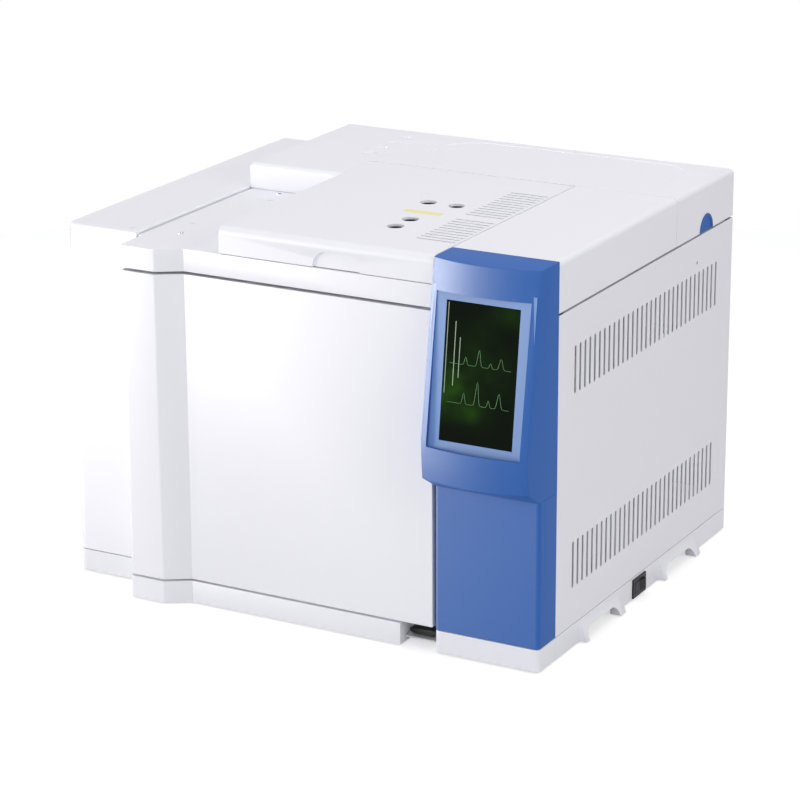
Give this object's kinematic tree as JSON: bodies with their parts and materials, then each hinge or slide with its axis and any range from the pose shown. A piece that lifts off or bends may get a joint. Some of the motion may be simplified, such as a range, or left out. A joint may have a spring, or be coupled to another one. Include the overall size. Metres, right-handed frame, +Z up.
{
  "type": "gas_chromatograph",
  "caption": "Benchtop gas chromatograph with a hinged oven door, lid over injectors and detectors, blue touch-screen column and flared base.",
  "frame": {"origin": "on the bench under the middle of the instrument's outer box", "axes": "+X to the right seen from the front, +Y to the back, +Z up"},
  "size_m": [0.66, 0.5899, 0.47],
  "materials": {
    "white_panel": "satin powder coat, cool white",
    "white_plastic": "satin moulded plastic, cool white",
    "blue_plastic": "satin blue moulding",
    "grey_plastic": "light grey moulding",
    "black_plastic": "black moulding",
    "rubber": "black rubber",
    "galvanised_steel": "bare zinc-coated sheet",
    "stainless_steel": "stainless sheet",
    "insulation": "ceramic fibre blanket",
    "gasket": "woven glass fibre rope",
    "brass": "turned brass",
    "aluminium": "machined aluminium",
    "screen": "dark screen glass",
    "board": "green circuit board",
    "column": "amber coated capillary",
    "bolt_steel": "bright plated steel"
  },
  "bodies": {
    "cabinet": {"base_tray": "white_plastic", "base_corner_cap": "white_plastic", "rubber_feet": "rubber", "floor_plate": "galvanised_steel", "chassis_front": "galvanised_steel", "left_bulkhead": "galvanised_steel", "right_bulkhead": "galvanised_steel", "rear_panel": "white_panel", "deck_plate": "galvanised_steel", "deck_cover": "white_plastic", "left_side_shell": "white_panel", "left_top_cap": "white_plastic", "right_side_panel": "white_panel", "right_top_cover": "white_plastic", "lid_hinges": "bolt_steel", "hinge_pins": "bolt_steel", "upper_hinge_bracket": "galvanised_steel", "door_catches": "black_plastic", "button_surround": "grey_plastic", "oven_shell": "galvanised_steel", "oven_insulation": "insulation", "oven_liner": "stainless_steel", "air_baffle": "stainless_steel", "oven_heater": "stainless_steel", "fan_motor": "aluminium", "column_rack": "bolt_steel", "capillary_column": "column", "injectors": "stainless_steel", "septum_nuts": "black_plastic", "detectors": "stainless_steel", "detector_caps": "aluminium", "heater_blocks": "aluminium", "exhaust_duct": "galvanised_steel", "flap_hinge": "bolt_steel", "gas_manifold": "aluminium", "flow_valves": "black_plastic", "gas_tubes": "bolt_steel", "gas_fittings": "brass", "power_supply": "galvanised_steel", "main_board": "board", "cooling_fan_frame": "black_plastic", "mains_inlet": "black_plastic", "display_housing": "blue_plastic", "screen_glass": "screen", "display_module": "black_plastic", "lower_column_panel": "blue_plastic", "switch_bezel": "black_plastic", "cover_screws": "bolt_steel"},
    "door": {"door_shell": "white_plastic", "door_insulation": "insulation", "door_inner_panel": "stainless_steel", "door_gasket": "gasket"},
    "lid": {"lid": "white_plastic"},
    "back_cover": {"back_cover": "white_plastic", "cover_pull": "blue_plastic"},
    "release_button": {"release_button": "black_plastic"},
    "power_rocker": {"power_rocker": "black_plastic"},
    "oven_fan": {"oven_fan": "stainless_steel"},
    "cooling_rotor": {"cooling_rotor": "black_plastic"},
    "vent_flap": {"vent_flap": "galvanised_steel"}
  },
  "joints": [
    {"name": "door_hinge", "type": "hinge", "parent": "cabinet", "child": "door", "pos_m": [-0.188, -0.24, 0.22], "axis": [0, 0, 1], "range_deg": [-105, 0]},
    {"name": "lid_hinge", "type": "hinge", "parent": "cabinet", "child": "lid", "pos_m": [0.0486, 0.102, 0.4655], "axis": [-1, 0, 0], "range_deg": [0, 80]},
    {"name": "back_cover_lift", "type": "slide", "parent": "cabinet", "child": "back_cover", "axis": [0, 0, 1], "range_m": [0, 0.06]},
    {"name": "button_press", "type": "slide", "parent": "cabinet", "child": "release_button", "axis": [0, 1, 0], "range_m": [0, 0.004], "stiffness_N_per_m": 400},
    {"name": "switch_rocker", "type": "hinge", "parent": "cabinet", "child": "power_rocker", "pos_m": [0.315, 0.019, 0.015], "axis": [0, 0, 1], "range_deg": [0, 16]},
    {"name": "oven_fan_spin", "type": "hinge", "parent": "cabinet", "child": "oven_fan", "pos_m": [0.02, 0, 0.225], "axis": [0, 1, 0], "continuous": true},
    {"name": "cooling_fan_spin", "type": "hinge", "parent": "cabinet", "child": "cooling_rotor", "pos_m": [0.255, 0.262, 0.22], "axis": [0, 1, 0], "continuous": true},
    {"name": "vent_flap_hinge", "type": "hinge", "parent": "cabinet", "child": "vent_flap", "pos_m": [0.13, 0.2835, 0.369], "axis": [1, 0, 0], "range_deg": [0, 75]}
  ]
}
